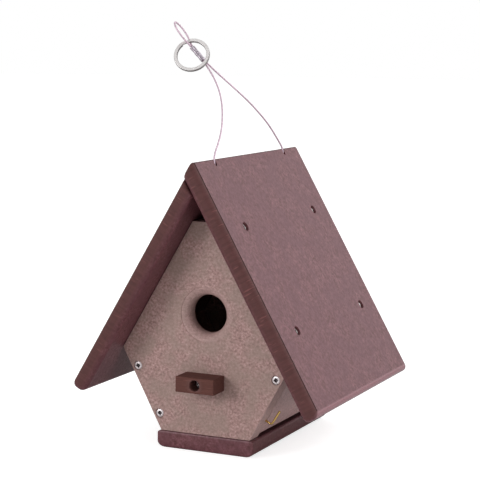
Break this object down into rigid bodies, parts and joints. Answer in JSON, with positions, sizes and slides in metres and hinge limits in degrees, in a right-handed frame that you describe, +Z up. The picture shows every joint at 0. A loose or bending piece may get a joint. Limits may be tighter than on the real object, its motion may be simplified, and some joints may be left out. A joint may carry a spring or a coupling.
{
  "type": "birdhouse",
  "caption": "Hanging wren nest box of solid plastic boards: steep overlapping roof, round entrance, block perch, swing-out clean-out door with a hook latch, and a cable hanger with a ring.",
  "frame": {"origin": "on the surface that the box stands on, under the middle of the box's outline (the hanger left out)", "axes": "+X to the right seen from the front, +Y from the entrance to the back, +Z up"},
  "size_m": [0.1966, 0.198, 0.3181],
  "materials": {
    "board_tan": "solid recycled plastic lumber, tan with fine grey and pink flecks, sawn and lightly pitted",
    "board_brown": "solid recycled plastic lumber, weathered brown, brushed face and darker rounded edges",
    "screw_bright": "bright plated screw head with a square drive",
    "screw_dark": "coated deck screw, recessed",
    "latch_brass": "polished brass-plated wire",
    "cable_steel": "fine stranded steel cable",
    "sleeve_aluminium": "pressed aluminium, dull",
    "ring_steel": "bright nickel-plated spring steel"
  },
  "bodies": {
    "house": {"front_panel": "board_tan", "back_panel": "board_tan", "side_left": "board_tan", "roof_left": "board_brown", "roof_right": "board_brown", "floor_board": "board_brown", "perch": "board_brown", "perch_screw": "screw_dark", "roof_screw_left_front_upper": "screw_dark", "roof_screw_left_front_lower": "screw_dark", "roof_screw_left_back_upper": "screw_dark", "roof_screw_left_back_lower": "screw_dark", "roof_screw_right_front_upper": "screw_dark", "roof_screw_right_front_lower": "screw_dark", "roof_screw_right_back_upper": "screw_dark", "roof_screw_right_back_lower": "screw_dark", "floor_screw_left_front": "screw_dark", "floor_screw_left_back": "screw_dark", "floor_screw_right_front": "screw_dark", "floor_screw_right_back": "screw_dark", "side_screw_front_upper": "screw_bright", "side_screw_front_lower": "screw_bright", "side_screw_back_upper": "screw_bright", "side_screw_back_lower": "screw_bright", "hanger_wire": "cable_steel", "crimp_sleeve": "sleeve_aluminium", "wire_stop_front": "sleeve_aluminium", "wire_stop_back": "sleeve_aluminium"},
    "door": {"clean_out_door": "board_tan", "door_pivot_screw_front": "screw_bright", "door_pivot_screw_back": "screw_bright"},
    "latch": {"door_latch": "latch_brass"},
    "ring": {"split_ring": "ring_steel"}
  },
  "joints": [
    {"name": "door_swing", "type": "hinge", "parent": "house", "child": "door", "pos_m": [0.05654, 0.002, 0.06031], "axis": [0, -1, 0], "range_deg": [0, 70]},
    {"name": "latch_turn", "type": "hinge", "parent": "house", "child": "latch", "pos_m": [0.04371, -0.0584, 0.02667], "axis": [0.8792, 0, -0.4765], "range_deg": [0, 200]},
    {"name": "ring_swing", "type": "hinge", "parent": "house", "child": "ring", "pos_m": [-0.0532, 0.002, 0.3028], "axis": [-0.8704, -0.3902, -0.3002], "range_deg": [0, 120]}
  ]
}
